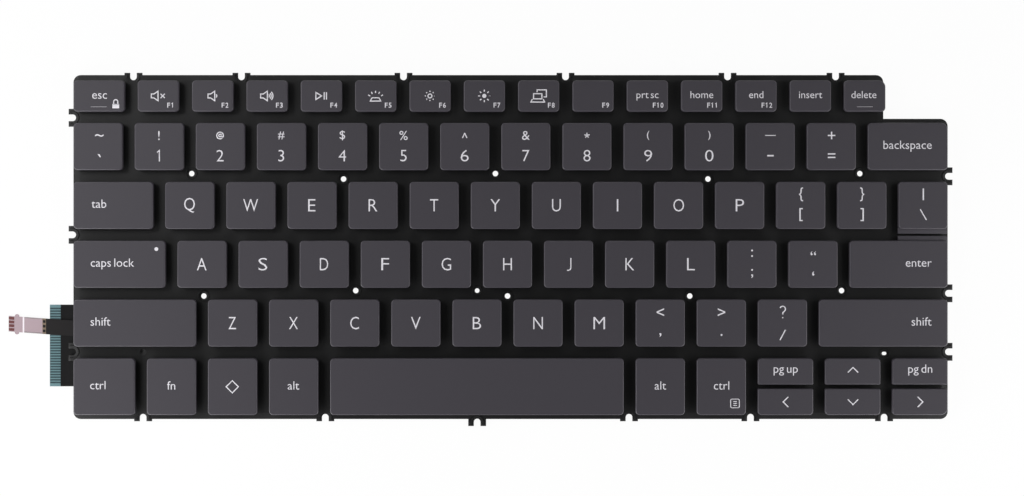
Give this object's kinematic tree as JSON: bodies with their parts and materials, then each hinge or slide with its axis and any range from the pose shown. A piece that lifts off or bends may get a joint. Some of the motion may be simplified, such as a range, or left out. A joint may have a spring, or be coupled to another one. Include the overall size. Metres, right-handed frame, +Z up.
{
  "type": "laptop keyboard",
  "caption": "Laptop keyboard module: low scissor-switch caps in staggered rows over a membrane and a stamped plate with edge screw notches; contact tail and backlight strip at the left.",
  "frame": {"origin": "centre of the underside of the key field", "axes": "+X towards the enter key, +Y towards the function row, +Z up through the caps"},
  "size_m": [0.2961, 0.1107, 0.0043],
  "materials": {
    "cap_plastic": "soft-touch coat",
    "plate_paint": "black paint",
    "membrane_film": "printed film",
    "light_film": "black backed film",
    "flex_film": "printed film",
    "dome_rubber": "silicone",
    "link_plastic": "moulded",
    "bar_steel": "drawn wire"
  },
  "bodies": {
    "base": {"base_plate": "plate_paint", "switch_membrane": "membrane_film", "backlight_sheet": "light_film", "backlight_flex": "flex_film", "rubber_domes": "dome_rubber", "scissor_links": "link_plastic", "stabiliser_bars": "bar_steel", "upper_row_keys": "cap_plastic"},
    "key_tab": {"key_tab": "cap_plastic"},
    "key_q": {"key_q": "cap_plastic"},
    "key_w": {"key_w": "cap_plastic"},
    "key_e": {"key_e": "cap_plastic"},
    "key_r": {"key_r": "cap_plastic"},
    "key_t": {"key_t": "cap_plastic"},
    "key_y": {"key_y": "cap_plastic"},
    "key_u": {"key_u": "cap_plastic"},
    "key_i": {"key_i": "cap_plastic"},
    "key_o": {"key_o": "cap_plastic"},
    "key_p": {"key_p": "cap_plastic"},
    "key_left_bracket": {"key_left_bracket": "cap_plastic"},
    "key_right_bracket": {"key_right_bracket": "cap_plastic"},
    "key_backslash": {"key_backslash": "cap_plastic"},
    "key_caps_lock": {"key_caps_lock": "cap_plastic"},
    "key_a": {"key_a": "cap_plastic"},
    "key_s": {"key_s": "cap_plastic"},
    "key_d": {"key_d": "cap_plastic"},
    "key_f": {"key_f": "cap_plastic"},
    "key_g": {"key_g": "cap_plastic"},
    "key_h": {"key_h": "cap_plastic"},
    "key_j": {"key_j": "cap_plastic"},
    "key_k": {"key_k": "cap_plastic"},
    "key_l": {"key_l": "cap_plastic"},
    "key_semicolon": {"key_semicolon": "cap_plastic"},
    "key_quote": {"key_quote": "cap_plastic"},
    "key_enter": {"key_enter": "cap_plastic"},
    "key_left_shift": {"key_left_shift": "cap_plastic"},
    "key_z": {"key_z": "cap_plastic"},
    "key_x": {"key_x": "cap_plastic"},
    "key_c": {"key_c": "cap_plastic"},
    "key_v": {"key_v": "cap_plastic"},
    "key_b": {"key_b": "cap_plastic"},
    "key_n": {"key_n": "cap_plastic"},
    "key_m": {"key_m": "cap_plastic"},
    "key_comma": {"key_comma": "cap_plastic"},
    "key_period": {"key_period": "cap_plastic"},
    "key_slash": {"key_slash": "cap_plastic"},
    "key_right_shift": {"key_right_shift": "cap_plastic"},
    "key_left_ctrl": {"key_left_ctrl": "cap_plastic"},
    "key_fn": {"key_fn": "cap_plastic"},
    "key_super": {"key_super": "cap_plastic"},
    "key_left_alt": {"key_left_alt": "cap_plastic"},
    "key_space": {"key_space": "cap_plastic"},
    "key_right_alt": {"key_right_alt": "cap_plastic"},
    "key_right_ctrl": {"key_right_ctrl": "cap_plastic"},
    "key_page_up": {"key_page_up": "cap_plastic"},
    "key_arrow_left": {"key_arrow_left": "cap_plastic"},
    "key_arrow_up": {"key_arrow_up": "cap_plastic"},
    "key_arrow_down": {"key_arrow_down": "cap_plastic"},
    "key_page_down": {"key_page_down": "cap_plastic"},
    "key_arrow_right": {"key_arrow_right": "cap_plastic"}
  },
  "joints": [
    {"name": "press_tab", "type": "slide", "parent": "base", "child": "key_tab", "axis": [0, 0, -1], "range_m": [0, 0.0013], "stiffness_N_per_m": 460, "deforming": ["rubber_domes", "scissor_links", "stabiliser_bars"]},
    {"name": "press_q", "type": "slide", "parent": "base", "child": "key_q", "axis": [0, 0, -1], "range_m": [0, 0.0013], "stiffness_N_per_m": 460, "deforming": ["rubber_domes", "scissor_links"]},
    {"name": "press_w", "type": "slide", "parent": "base", "child": "key_w", "axis": [0, 0, -1], "range_m": [0, 0.0013], "stiffness_N_per_m": 460, "deforming": ["rubber_domes", "scissor_links"]},
    {"name": "press_e", "type": "slide", "parent": "base", "child": "key_e", "axis": [0, 0, -1], "range_m": [0, 0.0013], "stiffness_N_per_m": 460, "deforming": ["rubber_domes", "scissor_links"]},
    {"name": "press_r", "type": "slide", "parent": "base", "child": "key_r", "axis": [0, 0, -1], "range_m": [0, 0.0013], "stiffness_N_per_m": 460, "deforming": ["rubber_domes", "scissor_links"]},
    {"name": "press_t", "type": "slide", "parent": "base", "child": "key_t", "axis": [0, 0, -1], "range_m": [0, 0.0013], "stiffness_N_per_m": 460, "deforming": ["rubber_domes", "scissor_links"]},
    {"name": "press_y", "type": "slide", "parent": "base", "child": "key_y", "axis": [0, 0, -1], "range_m": [0, 0.0013], "stiffness_N_per_m": 460, "deforming": ["rubber_domes", "scissor_links"]},
    {"name": "press_u", "type": "slide", "parent": "base", "child": "key_u", "axis": [0, 0, -1], "range_m": [0, 0.0013], "stiffness_N_per_m": 460, "deforming": ["rubber_domes", "scissor_links"]},
    {"name": "press_i", "type": "slide", "parent": "base", "child": "key_i", "axis": [0, 0, -1], "range_m": [0, 0.0013], "stiffness_N_per_m": 460, "deforming": ["rubber_domes", "scissor_links"]},
    {"name": "press_o", "type": "slide", "parent": "base", "child": "key_o", "axis": [0, 0, -1], "range_m": [0, 0.0013], "stiffness_N_per_m": 460, "deforming": ["rubber_domes", "scissor_links"]},
    {"name": "press_p", "type": "slide", "parent": "base", "child": "key_p", "axis": [0, 0, -1], "range_m": [0, 0.0013], "stiffness_N_per_m": 460, "deforming": ["rubber_domes", "scissor_links"]},
    {"name": "press_left_bracket", "type": "slide", "parent": "base", "child": "key_left_bracket", "axis": [0, 0, -1], "range_m": [0, 0.0013], "stiffness_N_per_m": 460, "deforming": ["rubber_domes", "scissor_links"]},
    {"name": "press_right_bracket", "type": "slide", "parent": "base", "child": "key_right_bracket", "axis": [0, 0, -1], "range_m": [0, 0.0013], "stiffness_N_per_m": 460, "deforming": ["rubber_domes", "scissor_links"]},
    {"name": "press_backslash", "type": "slide", "parent": "base", "child": "key_backslash", "axis": [0, 0, -1], "range_m": [0, 0.0013], "stiffness_N_per_m": 460, "deforming": ["rubber_domes", "scissor_links"]},
    {"name": "press_caps_lock", "type": "slide", "parent": "base", "child": "key_caps_lock", "axis": [0, 0, -1], "range_m": [0, 0.0013], "stiffness_N_per_m": 460, "deforming": ["rubber_domes", "scissor_links", "stabiliser_bars"]},
    {"name": "press_a", "type": "slide", "parent": "base", "child": "key_a", "axis": [0, 0, -1], "range_m": [0, 0.0013], "stiffness_N_per_m": 460, "deforming": ["rubber_domes", "scissor_links"]},
    {"name": "press_s", "type": "slide", "parent": "base", "child": "key_s", "axis": [0, 0, -1], "range_m": [0, 0.0013], "stiffness_N_per_m": 460, "deforming": ["rubber_domes", "scissor_links"]},
    {"name": "press_d", "type": "slide", "parent": "base", "child": "key_d", "axis": [0, 0, -1], "range_m": [0, 0.0013], "stiffness_N_per_m": 460, "deforming": ["rubber_domes", "scissor_links"]},
    {"name": "press_f", "type": "slide", "parent": "base", "child": "key_f", "axis": [0, 0, -1], "range_m": [0, 0.0013], "stiffness_N_per_m": 460, "deforming": ["rubber_domes", "scissor_links"]},
    {"name": "press_g", "type": "slide", "parent": "base", "child": "key_g", "axis": [0, 0, -1], "range_m": [0, 0.0013], "stiffness_N_per_m": 460, "deforming": ["rubber_domes", "scissor_links"]},
    {"name": "press_h", "type": "slide", "parent": "base", "child": "key_h", "axis": [0, 0, -1], "range_m": [0, 0.0013], "stiffness_N_per_m": 460, "deforming": ["rubber_domes", "scissor_links"]},
    {"name": "press_j", "type": "slide", "parent": "base", "child": "key_j", "axis": [0, 0, -1], "range_m": [0, 0.0013], "stiffness_N_per_m": 460, "deforming": ["rubber_domes", "scissor_links"]},
    {"name": "press_k", "type": "slide", "parent": "base", "child": "key_k", "axis": [0, 0, -1], "range_m": [0, 0.0013], "stiffness_N_per_m": 460, "deforming": ["rubber_domes", "scissor_links"]},
    {"name": "press_l", "type": "slide", "parent": "base", "child": "key_l", "axis": [0, 0, -1], "range_m": [0, 0.0013], "stiffness_N_per_m": 460, "deforming": ["rubber_domes", "scissor_links"]},
    {"name": "press_semicolon", "type": "slide", "parent": "base", "child": "key_semicolon", "axis": [0, 0, -1], "range_m": [0, 0.0013], "stiffness_N_per_m": 460, "deforming": ["rubber_domes", "scissor_links"]},
    {"name": "press_quote", "type": "slide", "parent": "base", "child": "key_quote", "axis": [0, 0, -1], "range_m": [0, 0.0013], "stiffness_N_per_m": 460, "deforming": ["rubber_domes", "scissor_links"]},
    {"name": "press_enter", "type": "slide", "parent": "base", "child": "key_enter", "axis": [0, 0, -1], "range_m": [0, 0.0013], "stiffness_N_per_m": 460, "deforming": ["rubber_domes", "scissor_links", "stabiliser_bars"]},
    {"name": "press_left_shift", "type": "slide", "parent": "base", "child": "key_left_shift", "axis": [0, 0, -1], "range_m": [0, 0.0013], "stiffness_N_per_m": 460, "deforming": ["rubber_domes", "scissor_links", "stabiliser_bars"]},
    {"name": "press_z", "type": "slide", "parent": "base", "child": "key_z", "axis": [0, 0, -1], "range_m": [0, 0.0013], "stiffness_N_per_m": 460, "deforming": ["rubber_domes", "scissor_links"]},
    {"name": "press_x", "type": "slide", "parent": "base", "child": "key_x", "axis": [0, 0, -1], "range_m": [0, 0.0013], "stiffness_N_per_m": 460, "deforming": ["rubber_domes", "scissor_links"]},
    {"name": "press_c", "type": "slide", "parent": "base", "child": "key_c", "axis": [0, 0, -1], "range_m": [0, 0.0013], "stiffness_N_per_m": 460, "deforming": ["rubber_domes", "scissor_links"]},
    {"name": "press_v", "type": "slide", "parent": "base", "child": "key_v", "axis": [0, 0, -1], "range_m": [0, 0.0013], "stiffness_N_per_m": 460, "deforming": ["rubber_domes", "scissor_links"]},
    {"name": "press_b", "type": "slide", "parent": "base", "child": "key_b", "axis": [0, 0, -1], "range_m": [0, 0.0013], "stiffness_N_per_m": 460, "deforming": ["rubber_domes", "scissor_links"]},
    {"name": "press_n", "type": "slide", "parent": "base", "child": "key_n", "axis": [0, 0, -1], "range_m": [0, 0.0013], "stiffness_N_per_m": 460, "deforming": ["rubber_domes", "scissor_links"]},
    {"name": "press_m", "type": "slide", "parent": "base", "child": "key_m", "axis": [0, 0, -1], "range_m": [0, 0.0013], "stiffness_N_per_m": 460, "deforming": ["rubber_domes", "scissor_links"]},
    {"name": "press_comma", "type": "slide", "parent": "base", "child": "key_comma", "axis": [0, 0, -1], "range_m": [0, 0.0013], "stiffness_N_per_m": 460, "deforming": ["rubber_domes", "scissor_links"]},
    {"name": "press_period", "type": "slide", "parent": "base", "child": "key_period", "axis": [0, 0, -1], "range_m": [0, 0.0013], "stiffness_N_per_m": 460, "deforming": ["rubber_domes", "scissor_links"]},
    {"name": "press_slash", "type": "slide", "parent": "base", "child": "key_slash", "axis": [0, 0, -1], "range_m": [0, 0.0013], "stiffness_N_per_m": 460, "deforming": ["rubber_domes", "scissor_links"]},
    {"name": "press_right_shift", "type": "slide", "parent": "base", "child": "key_right_shift", "axis": [0, 0, -1], "range_m": [0, 0.0013], "stiffness_N_per_m": 460, "deforming": ["rubber_domes", "scissor_links", "stabiliser_bars"]},
    {"name": "press_left_ctrl", "type": "slide", "parent": "base", "child": "key_left_ctrl", "axis": [0, 0, -1], "range_m": [0, 0.0013], "stiffness_N_per_m": 460, "deforming": ["rubber_domes", "scissor_links"]},
    {"name": "press_fn", "type": "slide", "parent": "base", "child": "key_fn", "axis": [0, 0, -1], "range_m": [0, 0.0013], "stiffness_N_per_m": 460, "deforming": ["rubber_domes", "scissor_links"]},
    {"name": "press_super", "type": "slide", "parent": "base", "child": "key_super", "axis": [0, 0, -1], "range_m": [0, 0.0013], "stiffness_N_per_m": 460, "deforming": ["rubber_domes", "scissor_links"]},
    {"name": "press_left_alt", "type": "slide", "parent": "base", "child": "key_left_alt", "axis": [0, 0, -1], "range_m": [0, 0.0013], "stiffness_N_per_m": 460, "deforming": ["rubber_domes", "scissor_links"]},
    {"name": "press_space", "type": "slide", "parent": "base", "child": "key_space", "axis": [0, 0, -1], "range_m": [0, 0.0013], "stiffness_N_per_m": 460, "deforming": ["rubber_domes", "scissor_links", "stabiliser_bars"]},
    {"name": "press_right_alt", "type": "slide", "parent": "base", "child": "key_right_alt", "axis": [0, 0, -1], "range_m": [0, 0.0013], "stiffness_N_per_m": 460, "deforming": ["rubber_domes", "scissor_links"]},
    {"name": "press_right_ctrl", "type": "slide", "parent": "base", "child": "key_right_ctrl", "axis": [0, 0, -1], "range_m": [0, 0.0013], "stiffness_N_per_m": 460, "deforming": ["rubber_domes", "scissor_links"]},
    {"name": "press_page_up", "type": "slide", "parent": "base", "child": "key_page_up", "axis": [0, 0, -1], "range_m": [0, 0.0013], "stiffness_N_per_m": 460, "deforming": ["rubber_domes", "scissor_links"]},
    {"name": "press_arrow_left", "type": "slide", "parent": "base", "child": "key_arrow_left", "axis": [0, 0, -1], "range_m": [0, 0.0013], "stiffness_N_per_m": 460, "deforming": ["rubber_domes", "scissor_links"]},
    {"name": "press_arrow_up", "type": "slide", "parent": "base", "child": "key_arrow_up", "axis": [0, 0, -1], "range_m": [0, 0.0013], "stiffness_N_per_m": 460, "deforming": ["rubber_domes", "scissor_links"]},
    {"name": "press_arrow_down", "type": "slide", "parent": "base", "child": "key_arrow_down", "axis": [0, 0, -1], "range_m": [0, 0.0013], "stiffness_N_per_m": 460, "deforming": ["rubber_domes", "scissor_links"]},
    {"name": "press_page_down", "type": "slide", "parent": "base", "child": "key_page_down", "axis": [0, 0, -1], "range_m": [0, 0.0013], "stiffness_N_per_m": 460, "deforming": ["rubber_domes", "scissor_links"]},
    {"name": "press_arrow_right", "type": "slide", "parent": "base", "child": "key_arrow_right", "axis": [0, 0, -1], "range_m": [0, 0.0013], "stiffness_N_per_m": 460, "deforming": ["rubber_domes", "scissor_links"]}
  ]
}
